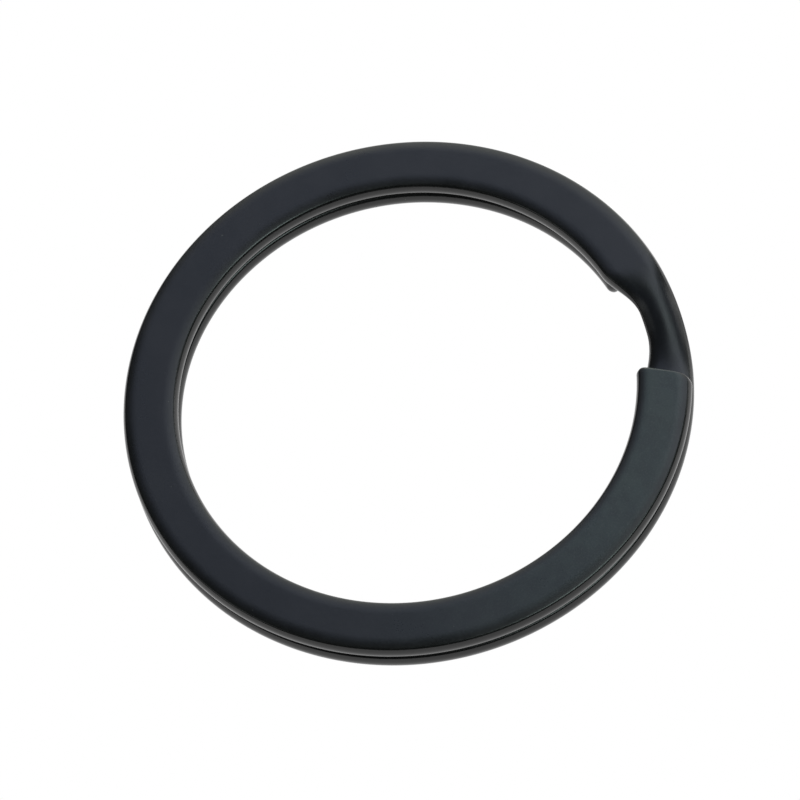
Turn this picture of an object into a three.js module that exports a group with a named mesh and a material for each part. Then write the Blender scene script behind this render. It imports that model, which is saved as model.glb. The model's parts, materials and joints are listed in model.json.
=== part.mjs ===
// Flat split key ring: one strip of black-coated spring steel, wound on edge into two turns.
//
// The two turns lie on each other. On the +X side the strip steps down from the upper turn to
// the lower one (the crossover), and both of its free ends lie beside that step: the upper end
// just in front of it (-Y) and the lower end just behind it (+Y). The strip is narrower through
// the crossover, so that a fingernail or a key can get under an end.
//
// The strip is divided crosswise into stretches. The stretches between each free end and the
// far side of the ring (-X) follow each other as the end is prised away from the other turn.
//
// Frame: origin at the ring's centre on the surface that it lies on, +Z up through the ring.
// A place along the strip is its angle from the upper free end, in degrees. Seen from above it
// runs clockwise, through -Y, -X and +Y to the crossover, then once more round to the lower end.

import * as THREE from 'three';

// Driving dimensions, in millimetres.
const OUTER_RADIUS = 16;
const STRIP_WIDTH = 3.1;
const STRIP_THICKNESS = 1.12;
const COIL_GAP = 0.04;
const EDGE_RADIUS = 0.2;
const CROSSOVER_NARROWING = 0.95;
const END_INNER_CORNER = 0.4;
const END_OUTER_CORNER = 0.65;
const STRETCH_GAP = 0.05;

// Driving angles, in degrees from the crossover's middle.
const CROSSOVER_HALF_ANGLE = 13;
const NARROW_FULL_HALF_ANGLE = 2.4;
const REAR_NARROW_END_ANGLE = 15.5;
const FRONT_NARROW_END_ANGLE = 20.5;

// How finely the strip is divided.
const FLEXIBLE_STRETCHES = 8;
const FIXED_STRETCHES = 4;
const LARGEST_STEP_ANGLE = 4.31;
const END_CORNER_STEPS = 4;
const EDGE_ARC_SEGMENTS = 1;

const STRIP_MEAN_RADIUS = OUTER_RADIUS - STRIP_WIDTH / 2;
const COIL_PITCH = STRIP_THICKNESS + COIL_GAP;
const STRIP_ANGLE = 2 * (360 - CROSSOVER_HALF_ANGLE);
const CROSSOVER_MIDDLE = STRIP_ANGLE / 2;
const TURN_ANGLE = CROSSOVER_MIDDLE - CROSSOVER_HALF_ANGLE;
const HALF_TURN_ANGLE = TURN_ANGLE / 2;

const BLACK_COATING = { color: 0x2e3136, roughness: 0.45, metalness: 0.3 };

// 0 below zero, 1 above one, and a smooth rise between.
function smoothRise(value) {
  return THREE.MathUtils.smoothstep(value, 0, 1);
}

// Angle that a length along the strip's middle line takes up.
function angleOfLength(length) {
  return THREE.MathUtils.radToDeg(length / STRIP_MEAN_RADIUS);
}

// Height of the strip's underside: it falls by one pitch through the crossover.
function undersideHeight(angle) {
  const intoCrossover = angle - CROSSOVER_MIDDLE + CROSSOVER_HALF_ANGLE;
  return COIL_PITCH * (1 - smoothRise(intoCrossover / (2 * CROSSOVER_HALF_ANGLE)));
}

// How far the inner edge stands back near the crossover.
function narrowing(angle) {
  const pastFull = Math.abs(angle - CROSSOVER_MIDDLE) - NARROW_FULL_HALF_ANGLE;
  const end = angle < CROSSOVER_MIDDLE ? REAR_NARROW_END_ANGLE : FRONT_NARROW_END_ANGLE;
  const fade = smoothRise(pastFull / (end - NARROW_FULL_HALF_ANGLE));
  return CROSSOVER_NARROWING * (1 - fade);
}

// How far an edge stands back where a free end's corner is rounded in plan.
function cornerInset(angle, radius) {
  const angleFromEnd = Math.min(angle, STRIP_ANGLE - angle);
  const fromEnd = THREE.MathUtils.degToRad(angleFromEnd) * STRIP_MEAN_RADIUS;
  const intoCorner = Math.max(radius - fromEnd, 0);
  return radius - Math.sqrt(radius * radius - intoCorner * intoCorner);
}

// The strip's section: a rectangle with its edges rounded, middle of the width at x = 0.
function stripSection() {
  const side = STRIP_WIDTH / 2 - EDGE_RADIUS;
  const low = EDGE_RADIUS;
  const high = STRIP_THICKNESS - EDGE_RADIUS;
  const quarter = Math.PI / 2;
  const section = new THREE.Shape();
  section.absarc(side, low, EDGE_RADIUS, -quarter, 0, false);
  section.absarc(side, high, EDGE_RADIUS, 0, quarter, false);
  section.absarc(-side, high, EDGE_RADIUS, quarter, 2 * quarter, false);
  section.absarc(-side, low, EDGE_RADIUS, 2 * quarter, 3 * quarter, false);
  section.closePath();
  return section;
}

// Even steps from one angle to another, both included.
function evenStations(start, end) {
  const count = Math.ceil((end - start) / LARGEST_STEP_ANGLE);
  const stations = [];
  for (let i = 0; i <= count; i += 1) {
    stations.push(start + ((end - start) * i) / count);
  }
  return stations;
}

// Steps that crowd towards a free end, so that they follow its rounded corners.
function endCornerOffsets() {
  const offsets = [];
  for (let i = 0; i < END_CORNER_STEPS; i += 1) {
    const turn = (Math.PI / 2) * (i / END_CORNER_STEPS);
    offsets.push(angleOfLength(END_OUTER_CORNER * (1 - Math.cos(turn))));
  }
  return offsets;
}

// The angles at which a stretch has a section. It stops short of its neighbours by half a gap.
function stationsOfStretch(start, end) {
  const trim = angleOfLength(STRETCH_GAP / 2);
  const corner = angleOfLength(END_OUTER_CORNER);
  if (start === 0) {
    const tail = evenStations(corner, end - trim);
    return [...endCornerOffsets(), ...tail];
  }
  if (end === STRIP_ANGLE) {
    const head = evenStations(start + trim, STRIP_ANGLE - corner);
    const offsets = endCornerOffsets().reverse();
    return [...head, ...offsets.map((offset) => STRIP_ANGLE - offset)];
  }
  return evenStations(start + trim, end - trim);
}

// A straight bar with one step for each station, rolled round the ring so that each lands at
// its station's angle. Its section's x becomes the radius and its y the height.
function stretchGeometry(start, end) {
  const stations = stationsOfStretch(start, end);
  const steps = stations.length - 1;
  const geometry = new THREE.ExtrudeGeometry(stripSection(), {
    depth: steps,
    steps,
    bevelEnabled: false,
    curveSegments: EDGE_ARC_SEGMENTS,
  });
  const position = geometry.attributes.position;
  for (let i = 0; i < position.count; i += 1) {
    const across = position.getX(i);
    const angle = stations[Math.round(position.getZ(i))];
    const inset = across < 0
      ? narrowing(angle) + cornerInset(angle, END_INNER_CORNER)
      : -cornerInset(angle, END_OUTER_CORNER);
    const radius = STRIP_MEAN_RADIUS + across + inset;
    const azimuth = -THREE.MathUtils.degToRad(CROSSOVER_HALF_ANGLE + angle);
    const height = undersideHeight(angle) + position.getY(i);
    position.setXYZ(i, radius * Math.cos(azimuth), radius * Math.sin(azimuth), height);
  }
  geometry.computeVertexNormals();
  return geometry;
}

// The names of the stretches along half a turn.
function numberedNames(base, count) {
  return Array.from({ length: count }, (_, i) => `${base}_${i + 1}`);
}

function addStretch(group, name, start, end) {
  const mesh = new THREE.Mesh(
    stretchGeometry(start, end),
    new THREE.MeshStandardMaterial(BLACK_COATING),
  );
  mesh.name = name;
  group.add(mesh);
}

// Divides the strip from one angle to another into equal stretches with these names.
function addStretches(group, names, start, end) {
  const length = (end - start) / names.length;
  names.forEach((name, i) => {
    const last = i === names.length - 1;
    addStretch(group, name, start + i * length, last ? end : start + (i + 1) * length);
  });
}

// Front is the -Y half of a turn and rear its +Y half. Flexible stretches count from -X, where
// they join the rest, to the free end.
const upperFront = [...numberedNames('upper_front', FLEXIBLE_STRETCHES - 1), 'upper_end'];
const upperRear = numberedNames('upper_rear', FIXED_STRETCHES);
const lowerFront = numberedNames('lower_front', FIXED_STRETCHES);
const lowerRear = [...numberedNames('lower_rear', FLEXIBLE_STRETCHES - 1), 'lower_end'];

const ring = new THREE.Group();
const crossoverStart = TURN_ANGLE;
const crossoverEnd = STRIP_ANGLE - TURN_ANGLE;
addStretches(ring, upperFront.reverse(), 0, HALF_TURN_ANGLE);
addStretches(ring, upperRear, HALF_TURN_ANGLE, crossoverStart);
addStretch(ring, 'crossover', crossoverStart, crossoverEnd);
addStretches(ring, lowerFront, crossoverEnd, STRIP_ANGLE - HALF_TURN_ANGLE);
addStretches(ring, lowerRear, STRIP_ANGLE - HALF_TURN_ANGLE, STRIP_ANGLE);

export default ring;
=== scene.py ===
"""Looks of a flat split key ring: one black-coated strip of spring steel wound into two turns.

The strip is swept in fine steps along the same line as its CAD stretches, and cut crosswise.
A piece of a flexible half turn is cut at the middles of two stretches and bends across the
hinge between them, so that the strip stays smooth while its ends are prised apart.

A place along the strip is its angle in degrees from the upper free end. Seen from above it
runs clockwise, once round to the crossover at +X and once more to the lower free end.
"""

import json
import math

import bpy
import numpy as np
from mathutils import Matrix, Vector


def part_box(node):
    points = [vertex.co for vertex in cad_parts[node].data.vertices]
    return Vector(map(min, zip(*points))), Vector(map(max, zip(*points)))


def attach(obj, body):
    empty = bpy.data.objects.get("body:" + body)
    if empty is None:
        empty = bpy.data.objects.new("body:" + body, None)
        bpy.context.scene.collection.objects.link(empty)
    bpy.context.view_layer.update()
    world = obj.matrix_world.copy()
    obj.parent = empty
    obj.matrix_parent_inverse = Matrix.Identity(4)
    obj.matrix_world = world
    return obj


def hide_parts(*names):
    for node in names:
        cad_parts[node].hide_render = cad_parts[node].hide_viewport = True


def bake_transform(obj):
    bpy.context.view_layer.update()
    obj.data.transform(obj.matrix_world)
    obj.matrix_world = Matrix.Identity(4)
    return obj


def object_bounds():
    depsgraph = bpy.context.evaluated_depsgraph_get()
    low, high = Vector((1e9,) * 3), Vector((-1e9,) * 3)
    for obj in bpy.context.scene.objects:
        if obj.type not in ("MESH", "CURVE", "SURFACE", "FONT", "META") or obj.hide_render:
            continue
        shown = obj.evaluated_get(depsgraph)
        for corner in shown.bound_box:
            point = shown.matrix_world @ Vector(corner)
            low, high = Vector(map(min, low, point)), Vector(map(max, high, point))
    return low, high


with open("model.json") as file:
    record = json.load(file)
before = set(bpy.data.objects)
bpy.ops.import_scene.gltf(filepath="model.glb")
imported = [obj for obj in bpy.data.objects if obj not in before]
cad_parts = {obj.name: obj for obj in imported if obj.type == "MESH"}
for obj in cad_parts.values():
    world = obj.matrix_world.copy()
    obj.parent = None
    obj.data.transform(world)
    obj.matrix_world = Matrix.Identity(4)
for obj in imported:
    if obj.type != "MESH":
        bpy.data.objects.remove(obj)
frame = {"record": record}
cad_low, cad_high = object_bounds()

MM = 0.001


# The strip's dimensions, in metres, read from the frame.

def mount_place(name):
    """The place of one of the record's mounts."""
    found = [m for m in frame["record"]["mounts"] if m["name"] == name]
    return Vector(found[0]["pos_m"])


OUTER_RADIUS = (cad_high.x - cad_low.x) / 2
MEAN_RADIUS = abs(mount_place("resting_face").y)
HALF_WIDTH = OUTER_RADIUS - MEAN_RADIUS
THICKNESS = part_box("lower_front_2")[1].z
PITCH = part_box("upper_rear_2")[0].z

# Dimensions that the frame doesn't state. The strip's faces are flat, fall a little along a
# shoulder at each side, and turn through a tight corner into a convex side.
SHOULDER_WIDTH = 0.6 * MM
SHOULDER_DROP = 0.07 * MM
UPPER_CORNER_RADIUS = 0.2 * MM
LOWER_CORNER_RADIUS = 0.12 * MM
SIDE_LEAN = math.radians(34)

# Through the crossover the strip is narrower, and its sides are squeezed towards the middle of
# its thickness, by this share at most.
NARROWING = 0.95 * MM
CROSSOVER_ROUNDING = 0.8

# The free ends have rounded edges and corners, and are cut aslant. The lower one's inner edge
# stands back a little.
END_EDGE_RADIUS = 0.16 * MM
END_INNER_CORNER = 0.4 * MM
END_OUTER_CORNER = 0.65 * MM
END_SLANT = 0.62 * MM
END_SLANT_LENGTH = 3 * MM
LOWER_END_SETBACK = 0.09 * MM
LOWER_END_SETBACK_LENGTH = 14 * MM

# The paler line along the strip's corners, partly wear and partly a painted highlight, and how much
# of it the upper corners have.
EDGE_LINE_WIDTH = 0.13 * MM
UPPER_EDGE_WEAR_AND_HIGHLIGHT = 0.03

# Angles in degrees from the crossover's middle.
CROSSOVER_HALF_ANGLE = 13
NARROW_FULL_HALF_ANGLE = 2.4
REAR_NARROW_END_ANGLE = 15.5
FRONT_NARROW_END_ANGLE = 20.5
ROUND_FULL_HALF_ANGLE = 2
REAR_ROUND_END_ANGLE = 14
FRONT_ROUND_END_ANGLE = 19

# Angles in degrees along the strip, and its stretches.
STRIP_ANGLE = 2 * (360 - CROSSOVER_HALF_ANGLE)
CROSSOVER_MIDDLE = STRIP_ANGLE / 2
TURN_ANGLE = CROSSOVER_MIDDLE - CROSSOVER_HALF_ANGLE
HALF_TURN_ANGLE = TURN_ANGLE / 2
FLEXIBLE_STRETCHES = 8
FIXED_STRETCHES = 4
STRETCH_ANGLE = HALF_TURN_ANGLE / FLEXIBLE_STRETCHES

# How finely the strip is drawn.
STEP_ANGLE = 1.0
END_STEPS = 22
SIDE_STEPS = 5
CORNER_STEPS = 6
SHOULDER_STEPS = 7
FACE_STEPS = 4
NORMAL_STEP_ANGLE = 0.01


# The strip's section.

def section_quarter(corner_radius):
    """A quarter of the strip's section, from the middle of its outer side to the middle of its
    upper face, as (across, up, edge). edge is 1 on the corner and falls to 0 away from it."""
    slope = math.atan(2 * SHOULDER_DROP / SHOULDER_WIDTH)
    last_turn = math.pi / 2 - slope
    corner_rise = corner_radius * (math.sin(last_turn) - math.sin(SIDE_LEAN))
    side_height = THICKNESS / 2 - SHOULDER_DROP - corner_rise
    side_radius = side_height / math.sin(SIDE_LEAN)
    corner_across = HALF_WIDTH - side_radius + (side_radius - corner_radius) * math.cos(SIDE_LEAN)
    corner_up = side_height - corner_radius * math.sin(SIDE_LEAN)
    shoulder_end = corner_across + corner_radius * math.cos(last_turn)
    face_end = shoulder_end - SHOULDER_WIDTH

    points = []
    for i in range(SIDE_STEPS):
        turn = SIDE_LEAN * i / SIDE_STEPS
        across = HALF_WIDTH - side_radius * (1 - math.cos(turn))
        from_corner = (SIDE_LEAN - turn) * side_radius
        edge = math.exp(-((from_corner / EDGE_LINE_WIDTH) ** 2))
        points.append((across, side_radius * math.sin(turn), edge))
    for i in range(CORNER_STEPS):
        turn = SIDE_LEAN + (last_turn - SIDE_LEAN) * i / CORNER_STEPS
        across = corner_across + corner_radius * math.cos(turn)
        points.append((across, corner_up + corner_radius * math.sin(turn), 1))
    for i in range(SHOULDER_STEPS):
        share = 1 - i / SHOULDER_STEPS
        across = face_end + SHOULDER_WIDTH * share
        edge = math.exp(-(((shoulder_end - across) / EDGE_LINE_WIDTH) ** 2))
        points.append((across, THICKNESS / 2 - SHOULDER_DROP * share ** 2, edge))
    for i in range(FACE_STEPS + 1):
        points.append((face_end * (1 - i / FACE_STEPS), THICKNESS / 2, 0))
    return np.array(points)


def section_outline():
    """The strip's section as rows of (across, up, edge), anticlockwise from its outer side."""
    upper = section_quarter(UPPER_CORNER_RADIUS) * (1, 1, UPPER_EDGE_WEAR_AND_HIGHLIGHT)
    lower = section_quarter(LOWER_CORNER_RADIUS)
    quarters = [
        upper[:-1],
        (upper[::-1] * (-1, 1, 1))[:-1],
        (lower * (-1, -1, 1))[:-1],
        (lower[::-1] * (1, -1, 1))[:-1],
    ]
    return np.concatenate(quarters)


SECTION = section_outline()


# The strip's surface.

def smooth_rise(value):
    """0 below zero, 1 above one, and a smooth rise between."""
    t = np.clip(value, 0, 1)
    return t * t * (3 - 2 * t)


def angle_of_length(length):
    """The angle in degrees that a length takes up on the strip's middle line."""
    return math.degrees(length / MEAN_RADIUS)


def corner_inset(from_end, radius):
    """How far an edge stands back at a distance from a free end, where its corner is round."""
    into = np.clip(radius - from_end, 0, radius)
    return radius - np.sqrt(radius * radius - into * into)


def crossover_share(angle, full_half_angle, rear_end_angle, front_end_angle):
    """1 about the crossover's middle, falling smoothly to 0 at an angle on each side of it."""
    past_full = np.abs(angle - CROSSOVER_MIDDLE) - full_half_angle
    end_angle = np.where(angle < CROSSOVER_MIDDLE, rear_end_angle, front_end_angle)
    return 1 - smooth_rise(past_full / (end_angle - full_half_angle))


def edge_insets(angle, from_end):
    """How far the strip's inner and outer edges stand back from its full width."""
    narrow = NARROWING * crossover_share(
        angle, NARROW_FULL_HALF_ANGLE, REAR_NARROW_END_ANGLE, FRONT_NARROW_END_ANGLE)
    from_lower_end = np.radians(STRIP_ANGLE - angle) * MEAN_RADIUS
    setback = LOWER_END_SETBACK * (1 - smooth_rise(from_lower_end / LOWER_END_SETBACK_LENGTH))
    inner = corner_inset(from_end, END_INNER_CORNER) + setback + narrow
    return inner, corner_inset(from_end, END_OUTER_CORNER)


def underside_height(angle):
    """Height of the strip's underside: it falls by one pitch through the crossover."""
    into_crossover = angle - CROSSOVER_MIDDLE + CROSSOVER_HALF_ANGLE
    return PITCH * (1 - smooth_rise(into_crossover / (2 * CROSSOVER_HALF_ANGLE)))


def strip_surface(stations):
    """Points on the strip's surface, a row for each station angle and a column round SECTION."""
    angle = np.array(stations, float)[:, None]
    across, up = SECTION[:, 0][None, :], SECTION[:, 1][None, :]
    lean = across / HALF_WIDTH
    from_end = np.radians(np.minimum(angle, STRIP_ANGLE - angle)) * MEAN_RADIUS

    inner, outer = edge_insets(angle, from_end)
    shrink = 1 - (inner + outer) / (2 * HALF_WIDTH)
    radius = MEAN_RADIUS + (inner - outer) / 2 + across * shrink

    rounding = CROSSOVER_ROUNDING * crossover_share(
        angle, ROUND_FULL_HALF_ANGLE, REAR_ROUND_END_ANGLE, FRONT_ROUND_END_ANGLE) * lean ** 2
    squeeze = 1 - corner_inset(from_end, END_EDGE_RADIUS) / (THICKNESS / 2)
    height = underside_height(angle) + THICKNESS / 2 + up * squeeze * (1 - rounding)

    near_end = 1 - smooth_rise(from_end / END_SLANT_LENGTH)
    toward_middle = np.where(angle < CROSSOVER_MIDDLE, 1, -1)
    slant = angle_of_length(END_SLANT) * (1 + lean) / 2
    azimuth = -np.radians(CROSSOVER_HALF_ANGLE + angle + toward_middle * near_end * slant)
    return np.stack([radius * np.cos(azimuth), radius * np.sin(azimuth), height], axis=-1)


def stations_between(start, end):
    """Station angles of a stretch, crowded towards a free end to follow its round corners."""
    corner = angle_of_length(END_OUTER_CORNER)
    offsets = [corner * (1 - math.cos(math.pi / 2 * i / END_STEPS)) for i in range(END_STEPS)]
    low = start + corner if start == 0 else start
    high = end - corner if end == STRIP_ANGLE else end
    count = max(2, math.ceil((high - low) / STEP_ANGLE))
    stations = list(np.linspace(low, high, count + 1))
    if start == 0:
        stations = offsets + stations
    if end == STRIP_ANGLE:
        stations = stations + [STRIP_ANGLE - offset for offset in reversed(offsets)]
    return stations


def surface_normals(stations, surface):
    """Outward normals, worked out past a cut so that two pieces shade alike where they meet."""
    before = np.clip(np.array(stations) - NORMAL_STEP_ANGLE, 0, STRIP_ANGLE)
    after = np.clip(np.array(stations) + NORMAL_STEP_ANGLE, 0, STRIP_ANGLE)
    along = strip_surface(after) - strip_surface(before)
    around = np.roll(surface, -1, axis=1) - np.roll(surface, 1, axis=1)
    normals = np.cross(around, along)
    return normals / np.linalg.norm(normals, axis=-1, keepdims=True)


# The strip's meshes.

def strip_faces(rows, columns):
    """The faces round the strip's sides, and then the caps on its two cuts."""
    faces = []
    for i in range(rows - 1):
        low, high = i * columns, (i + 1) * columns
        for j in range(columns):
            k = (j + 1) % columns
            faces.append((low + j, low + k, high + k, high + j))
    first_cap = tuple(range(columns - 1, -1, -1))
    last_cap = tuple(range((rows - 1) * columns, rows * columns))
    return faces + [first_cap, last_cap]


def set_normals(mesh, normals):
    """Gives each corner of the side faces its vertex's normal, and the two caps their own."""
    sides = normals.reshape(-1, 3)
    caps = [polygon.index for polygon in mesh.polygons[-2:]]
    corner_normals = []
    for polygon in mesh.polygons:
        flat = polygon.index in caps
        for vertex in polygon.vertices:
            corner_normals.append(tuple(polygon.normal) if flat else tuple(sides[vertex]))
    mesh.normals_split_custom_set(corner_normals)


def store_places(mesh, stations):
    """Stores each vertex's place along, across and up the unbent strip, in metres, and how near
    it is to a corner's paler line, which is partly wear and partly a painted highlight."""
    grid = np.zeros((len(stations), len(SECTION), 3))
    grid[:, :, 0] = (np.radians(np.array(stations)) * MEAN_RADIUS)[:, None]
    grid[:, :, 1:] = SECTION[None, :, :2]
    place = mesh.attributes.new("strip_place", "FLOAT_VECTOR", "POINT")
    place.data.foreach_set("vector", grid.astype(np.float32).ravel())
    edge = mesh.attributes.new("edge_line", "FLOAT", "POINT")
    edge.data.foreach_set("value", np.tile(SECTION[:, 2], len(stations)).astype(np.float32))


def strip_piece(name, start, end):
    """One closed piece of the strip between two angles."""
    stations = stations_between(start, end)
    surface = strip_surface(stations)
    vertices = [tuple(vertex) for vertex in surface.reshape(-1, 3)]
    mesh = bpy.data.meshes.new(name)
    mesh.from_pydata(vertices, [], strip_faces(len(stations), len(SECTION)))
    mesh.shade_smooth()
    mesh.update()
    set_normals(mesh, surface_normals(stations, surface))
    store_places(mesh, stations)
    piece = bpy.data.objects.new(name, mesh)
    bpy.context.scene.collection.objects.link(piece)
    return piece


# The finish. Colours are linear.

# Painted shade: the base colour darkens over each side's shoulder, corner and side.
SHOULDER_PAINTED_SHADE = (0.003, 0.003, 0.003)
DEEP_BLACK = (0.0105, 0.011, 0.013)
BLUE_BLACK = (0.0125, 0.013, 0.017)
# Partly the coating's own greener tint, partly painted light: a paler black on the faces towards
# the upper end.
TINT_AND_PAINTED_LIGHT_BLACK = (0.036, 0.0475, 0.0455)
PALE_GRAIN = (0.06, 0.065, 0.065)
# Partly wear, partly a painted highlight: a paler line along the corners, mostly the lower ones.
WORN_AND_HIGHLIGHT_EDGE = (0.3, 0.3, 0.29)
PALE_SPECK = (0.12, 0.12, 0.11)
COATING_IOR = 1.5

# Each pattern is a noise: its waves to the metre, and its octaves of finer detail.
MOTTLE = (450, 3)
PATCHES = (1100, 4)
PEEL = (3200, 2)
SPECKS = (4200, 0)
GRAIN = (9000, 2)
NOISE_ROUGHNESS = 0.55

# Ranges of a noise's values. A pattern changes from one look to the other across its range.
WIDE = (0.3, 0.7)
MIDDLING = (0.35, 0.65)
HIGH = (0.45, 0.75)
PEAKS = (0.87, 0.9)

# Where the looks change: distances from the upper end, and then from the strip's middle line.
TINT_AND_PAINTED_LIGHT_FADE = (5 * MM, 29 * MM)
TINT_AND_PAINTED_LIGHT_FACE = (0.75 * MM, 1.4 * MM)
SHOULDER_PAINTED_SHADE_FADE = (0.9 * MM, 1.35 * MM)
BURNISHED_SIDE = (1.35 * MM, 1.45 * MM)

# How strongly the looks show.
PATCH_STRENGTH = (0.72, 1.06)
GRAIN_STRENGTH = 0.5
WEAR_AND_HIGHLIGHT_STRENGTH = 0.6
BROKEN_WEAR_AND_HIGHLIGHT = (0.6, 1)
SPECK_STRENGTH = 0.4
MOTTLE_ROUGHNESS = (0.29, 0.35)
GRAIN_ROUGHNESS = (-0.02, 0.03)
BURNISHED_ROUGHNESS = -0.18
GRAIN_BUMP = 0.35
BUMP_STRENGTH = 0.12
BUMP_HEIGHT = 0.02 * MM

# A Mix node's sockets for colours. It has others of the same names.
MIX_FIRST, MIX_SECOND, MIX_RESULT = 6, 7, 2


def new_node(tree, kind, **inputs):
    """A shader node with some of its inputs set by name."""
    node = tree.nodes.new(kind)
    for name, value in inputs.items():
        node.inputs[name].default_value = value
    return node


def stored(tree, name, output):
    """A value that the pieces' meshes store."""
    node = tree.nodes.new("ShaderNodeAttribute")
    node.attribute_name = name
    return node.outputs[output]


def noise(tree, place, pattern):
    """A pattern's noise over the strip's own places."""
    waves, octaves = pattern
    node = new_node(tree, "ShaderNodeTexNoise", Scale=waves, Detail=octaves,
                    Roughness=NOISE_ROUGHNESS)
    tree.links.new(place, node.inputs["Vector"])
    return node.outputs["Fac"]


def remap(tree, value, source, target):
    """Takes a value smoothly from one range to another. A range is a pair of numbers."""
    node = tree.nodes.new("ShaderNodeMapRange")
    node.interpolation_type = "SMOOTHSTEP"
    for name, number in zip(("From Min", "From Max", "To Min", "To Max"), (*source, *target)):
        node.inputs[name].default_value = number
    tree.links.new(value, node.inputs["Value"])
    return node.outputs["Result"]


def mix_colour(tree, factor, first, second):
    """Mixes two colours. Each is a socket or a plain colour."""
    node = tree.nodes.new("ShaderNodeMix")
    node.data_type = "RGBA"
    tree.links.new(factor, node.inputs["Factor"])
    for index, colour in ((MIX_FIRST, first), (MIX_SECOND, second)):
        if isinstance(colour, tuple):
            node.inputs[index].default_value = (*colour, 1)
        else:
            tree.links.new(colour, node.inputs[index])
    return node.outputs[MIX_RESULT]


def calculate(tree, operation, *values):
    """The result of a Math operation on its values. Each is a socket or a plain number."""
    node = tree.nodes.new("ShaderNodeMath")
    node.operation = operation
    for socket, value in zip(node.inputs, values):
        if isinstance(value, (int, float)):
            socket.default_value = value
        else:
            tree.links.new(value, socket)
    return node.outputs[0]


def coating_material():
    """Satin black coating: faintly mottled, with a fine grain and a few pale specks. A paler line
    along its corners is partly wear and partly a painted highlight; a paler, greener tone on its
    faces towards the upper end is partly the coating's own tint and partly painted light; and its
    colour darkens towards each side, a painted shade."""
    material = bpy.data.materials.new("satin_black_coating")
    material.use_nodes = True
    tree = material.node_tree
    shader = tree.nodes["Principled BSDF"]
    shader.inputs["IOR"].default_value = COATING_IOR

    place = stored(tree, "strip_place", "Vector")
    edge_line = stored(tree, "edge_line", "Fac")
    parts = tree.nodes.new("ShaderNodeSeparateXYZ")
    tree.links.new(place, parts.inputs[0])
    from_line = calculate(tree, "ABSOLUTE", parts.outputs["Y"])
    mottle = noise(tree, place, MOTTLE)
    grain = noise(tree, place, GRAIN)
    peel = noise(tree, place, PEEL)

    # Towards the upper end the faces turn paler and greener, with a pale grain: partly the
    # coating's tint, partly painted light.
    tint_and_painted_light = calculate(tree, "MULTIPLY", remap(tree, parts.outputs["X"], TINT_AND_PAINTED_LIGHT_FADE, (1, 0)),
                        remap(tree, from_line, TINT_AND_PAINTED_LIGHT_FACE, (1, 0)))
    patchy = remap(tree, noise(tree, place, PATCHES), MIDDLING, PATCH_STRENGTH)
    patches = calculate(tree, "MULTIPLY", tint_and_painted_light, patchy)
    grainy = calculate(tree, "MULTIPLY", remap(tree, grain, HIGH, (0, 1)), tint_and_painted_light)
    pale_grain = calculate(tree, "MULTIPLY", grainy, GRAIN_STRENGTH)
    # A paler line along the corners: partly wear, partly a painted highlight at each side's lower
    # edge.
    broken = calculate(tree, "MULTIPLY", edge_line, remap(tree, peel, WIDE, BROKEN_WEAR_AND_HIGHLIGHT))
    wear_and_highlight = calculate(tree, "MULTIPLY", broken, WEAR_AND_HIGHLIGHT_STRENGTH)
    specks = remap(tree, noise(tree, place, SPECKS), PEAKS, (0, SPECK_STRENGTH))

    colour = mix_colour(tree, remap(tree, mottle, MIDDLING, (0, 1)), DEEP_BLACK, BLUE_BLACK)
    colour = mix_colour(tree, patches, colour, TINT_AND_PAINTED_LIGHT_BLACK)
    colour = mix_colour(tree, pale_grain, colour, PALE_GRAIN)
    # Painted shade: darker towards each side of the strip.
    colour = mix_colour(tree, remap(tree, from_line, SHOULDER_PAINTED_SHADE_FADE, (0, 1)), colour, SHOULDER_PAINTED_SHADE)
    colour = mix_colour(tree, wear_and_highlight, colour, WORN_AND_HIGHLIGHT_EDGE)
    colour = mix_colour(tree, specks, colour, PALE_SPECK)
    tree.links.new(colour, shader.inputs["Base Color"])

    rough = calculate(tree, "ADD", remap(tree, mottle, WIDE, MOTTLE_ROUGHNESS),
                      remap(tree, grain, WIDE, GRAIN_ROUGHNESS))
    burnished = remap(tree, from_line, BURNISHED_SIDE, (0, BURNISHED_ROUGHNESS))
    rough = calculate(tree, "ADD", rough, burnished)
    tree.links.new(rough, shader.inputs["Roughness"])

    texture = calculate(tree, "ADD", peel, calculate(tree, "MULTIPLY", grain, GRAIN_BUMP))
    bump = new_node(tree, "ShaderNodeBump", Strength=BUMP_STRENGTH, Distance=BUMP_HEIGHT)
    tree.links.new(texture, bump.inputs["Height"])
    tree.links.new(bump.outputs["Normal"], shader.inputs["Normal"])
    return material


# The pieces.

COATING = coating_material()


def finish_piece(piece, *nodes):
    """What all pieces share: the finish and the CAD stretches that they stand for."""
    piece.data.materials.append(COATING)
    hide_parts(*nodes)


def flexible_half_turn(nodes, hinge_angle, upper):
    """Bending pieces from the fixed strip to the upper free end or the lower one. Angles fall
    towards the upper end and rise towards the lower one."""
    direction = -1 if upper else 1
    tip = 0 if upper else STRIP_ANGLE
    for i, node in enumerate(nodes):
        hinge = hinge_angle + direction * i * STRETCH_ANGLE
        near = hinge - direction * STRETCH_ANGLE / 2
        far = hinge + direction * STRETCH_ANGLE / 2
        last_cut = tip if i == len(nodes) - 1 else far
        piece = strip_piece(f"strip_{node}", min(near, last_cut), max(near, last_cut))
        finish_piece(piece, node)
        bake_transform(piece)


def fixed_pieces(base, start, end):
    """The pieces of a half turn that doesn't bend. At -X, where a flexible half turn begins,
    its first piece takes half a stretch of this one."""
    cuts = np.linspace(start, end, FIXED_STRETCHES + 1)
    if start == HALF_TURN_ANGLE:
        cuts[0] += STRETCH_ANGLE / 2
    if end == STRIP_ANGLE - HALF_TURN_ANGLE:
        cuts[-1] -= STRETCH_ANGLE / 2
    for i in range(FIXED_STRETCHES):
        node = f"{base}_{i + 1}"
        piece = strip_piece(f"strip_{node}", cuts[i], cuts[i + 1])
        finish_piece(piece, node)
        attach(piece, "ring_body")


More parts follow.
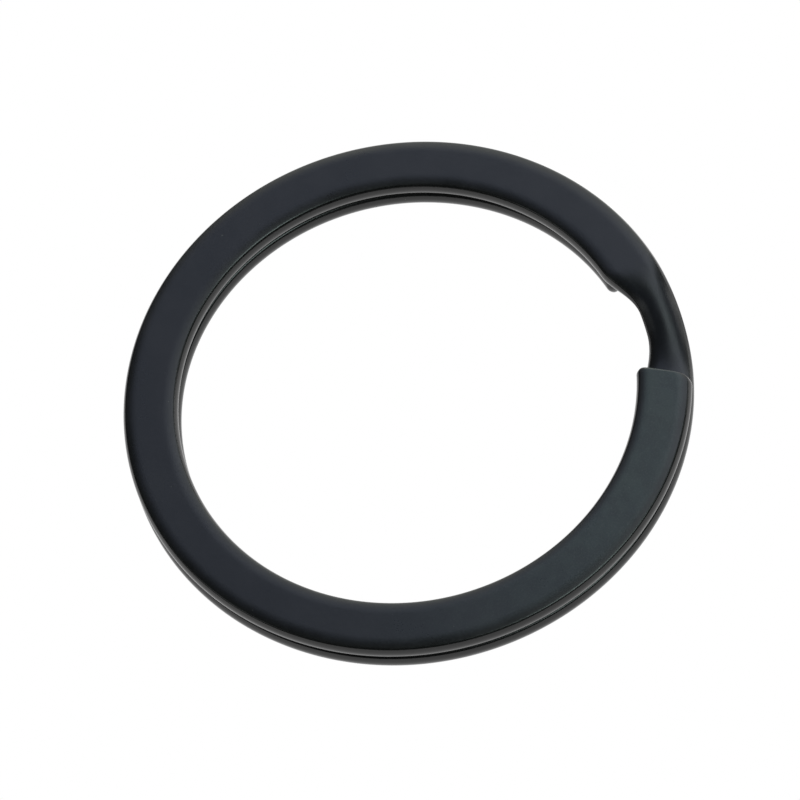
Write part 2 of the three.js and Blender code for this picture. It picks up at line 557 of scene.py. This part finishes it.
upper_nodes = [f"upper_front_{i + 1}" for i in range(FLEXIBLE_STRETCHES - 1)] + ["upper_end"]
lower_nodes = [f"lower_rear_{i + 1}" for i in range(FLEXIBLE_STRETCHES - 1)] + ["lower_end"]
flexible_half_turn(upper_nodes, HALF_TURN_ANGLE, upper=True)
fixed_pieces("upper_rear", HALF_TURN_ANGLE, TURN_ANGLE)
crossover = strip_piece("strip_crossover", TURN_ANGLE, STRIP_ANGLE - TURN_ANGLE)
finish_piece(crossover, "crossover")
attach(crossover, "ring_body")
fixed_pieces("lower_front", STRIP_ANGLE - TURN_ANGLE, STRIP_ANGLE - HALF_TURN_ANGLE)
flexible_half_turn(lower_nodes, STRIP_ANGLE - HALF_TURN_ANGLE, upper=False)


# The studio, in metres and watts.

FLOOR_DROP = 3.6 * MM
FLOOR_HALF_WIDTH = 20
WALL_DISTANCE = 1.3
WALL_HEIGHT = 1.2
SOFTBOX_DISTANCE = 0.6
SOFTBOX_SIZE = 0.26
BACKDROP_SIZE = 0.66
ROOM_GREY = (0.03, 0.032, 0.034)

# The camera's place round the ring, and its roll, in degrees. Its sensor is in millimetres.
CAMERA_AZIMUTH = -1.55
CAMERA_ELEVATION = 62.16
CAMERA_ROLL = 16.12
CAMERA_DISTANCE = 386 * MM
CAMERA_SENSOR = 36
CAMERA_NEAREST = 10 * MM

# The width that the picture takes in at the ring, and how far the ring's centre lies to the
# right of the picture's middle and below it.
PICTURE_WIDTH = 44.828 * MM
RING_RIGHT = 0.5906 * MM
RING_DOWN = 0.4718 * MM


def white_surface(name, corners, faces):
    """Part of the studio: a plain surface that glows white, so that it shows no shadow."""
    mesh = bpy.data.meshes.new(name)
    mesh.from_pydata(corners, [], faces)
    surface = bpy.data.objects.new(name, mesh)
    bpy.context.scene.collection.objects.link(surface)
    material = bpy.data.materials.new(f"{name}_white")
    material.use_nodes = True
    shader = material.node_tree.nodes["Principled BSDF"]
    shader.inputs["Base Color"].default_value = (0, 0, 0, 1)
    shader.inputs["Specular IOR Level"].default_value = 0
    shader.inputs["Emission Color"].default_value = (1, 1, 1, 1)
    shader.inputs["Emission Strength"].default_value = 1.0
    mesh.materials.append(material)
    return surface


def square_corners(half, height):
    """The corners of a level square round the ring's axis."""
    return [(x * half, y * half, height) for x, y in ((-1, -1), (1, -1), (1, 1), (-1, 1))]


def add_floor():
    """The floor lies a little lower than the ring, to leave room for the lower end when that
    is prised down."""
    white_surface("floor", square_corners(FLOOR_HALF_WIDTH, -FLOOR_DROP), [(0, 1, 2, 3)])


def add_walls():
    """White walls behind the ring in low views. They light nothing and shade nothing."""
    low = square_corners(WALL_DISTANCE, -FLOOR_DROP)
    high = square_corners(WALL_DISTANCE, WALL_HEIGHT)
    faces = [(i, (i + 1) % 4, (i + 1) % 4 + 4, i + 4) for i in range(4)]
    walls = white_surface("walls", low + high, faces)
    walls.visible_diffuse = False
    walls.visible_glossy = False
    walls.visible_shadow = False


def add_softbox(name, azimuth, elevation, size, power, colour):
    """A square soft light that faces the ring, at an azimuth and an elevation in degrees."""
    turn, rise = math.radians(azimuth), math.radians(elevation)
    outward = Vector((math.cos(turn) * math.cos(rise), math.sin(turn) * math.cos(rise),
                      math.sin(rise)))
    light = bpy.data.lights.new(name, "AREA")
    light.shape = "SQUARE"
    light.size = size
    light.energy = power
    light.color = colour
    softbox = bpy.data.objects.new(name, light)
    softbox.location = outward * SOFTBOX_DISTANCE
    softbox.rotation_euler = outward.to_track_quat("Z", "Y").to_euler()
    bpy.context.scene.collection.objects.link(softbox)


def add_world():
    """The dim room round the table."""
    world = bpy.data.worlds.new("room")
    world.use_nodes = True
    background = world.node_tree.nodes["Background"]
    background.inputs["Color"].default_value = (*ROOM_GREY, 1)
    background.inputs["Strength"].default_value = 1.0
    bpy.context.scene.world = world


def add_camera():
    """Looks down on the ring from its front, turned a little on its own axis."""
    azimuth, elevation = math.radians(CAMERA_AZIMUTH), math.radians(CAMERA_ELEVATION)
    roll = math.radians(CAMERA_ROLL)
    right = Vector((math.cos(azimuth), math.sin(azimuth), 0))
    ahead = Vector((-math.sin(azimuth), math.cos(azimuth), 0))
    up = ahead * math.sin(elevation) + Vector((0, 0, math.cos(elevation)))
    back = Vector((0, 0, math.sin(elevation))) - ahead * math.cos(elevation)
    image_right = right * math.cos(roll) - up * math.sin(roll)
    image_up = right * math.sin(roll) + up * math.cos(roll)
    place = back * CAMERA_DISTANCE - image_right * RING_RIGHT + image_up * RING_DOWN

    data = bpy.data.cameras.new("camera")
    data.sensor_width = CAMERA_SENSOR
    data.lens = CAMERA_SENSOR * CAMERA_DISTANCE / PICTURE_WIDTH
    data.clip_start = CAMERA_NEAREST
    camera = bpy.data.objects.new("camera", data)
    axes = Matrix((image_right, image_up, back)).transposed()
    camera.matrix_world = Matrix.Translation(place) @ axes.to_4x4()
    bpy.context.scene.collection.objects.link(camera)
    bpy.context.scene.camera = camera


add_floor()
add_walls()
add_softbox("rear_softbox", 90, 56, SOFTBOX_SIZE, 0.12, (0.87, 1.0, 1.4))
add_softbox("right_rear_softbox", 45, 56, SOFTBOX_SIZE, 0.34, (0.92, 1.0, 1.15))
add_softbox("right_top_softbox", 0, 70, SOFTBOX_SIZE, 0.24, (0.9, 1.02, 1.05))
add_softbox("right_low_softbox", 18, 12, SOFTBOX_SIZE, 0.4, (0.98, 1.0, 1.0))
add_softbox("right_front_softbox", 315, 56, SOFTBOX_SIZE, 1.0, (0.85, 1.04, 1.0))
add_softbox("left_softbox", 190, 30, SOFTBOX_SIZE, 0.15, (0.95, 1.0, 1.0))
add_softbox("backdrop_panel", 68, 16, BACKDROP_SIZE, 2.4, (0.98, 1.02, 0.98))
add_world()
add_camera()
bpy.context.scene.view_settings.view_transform = "Standard"
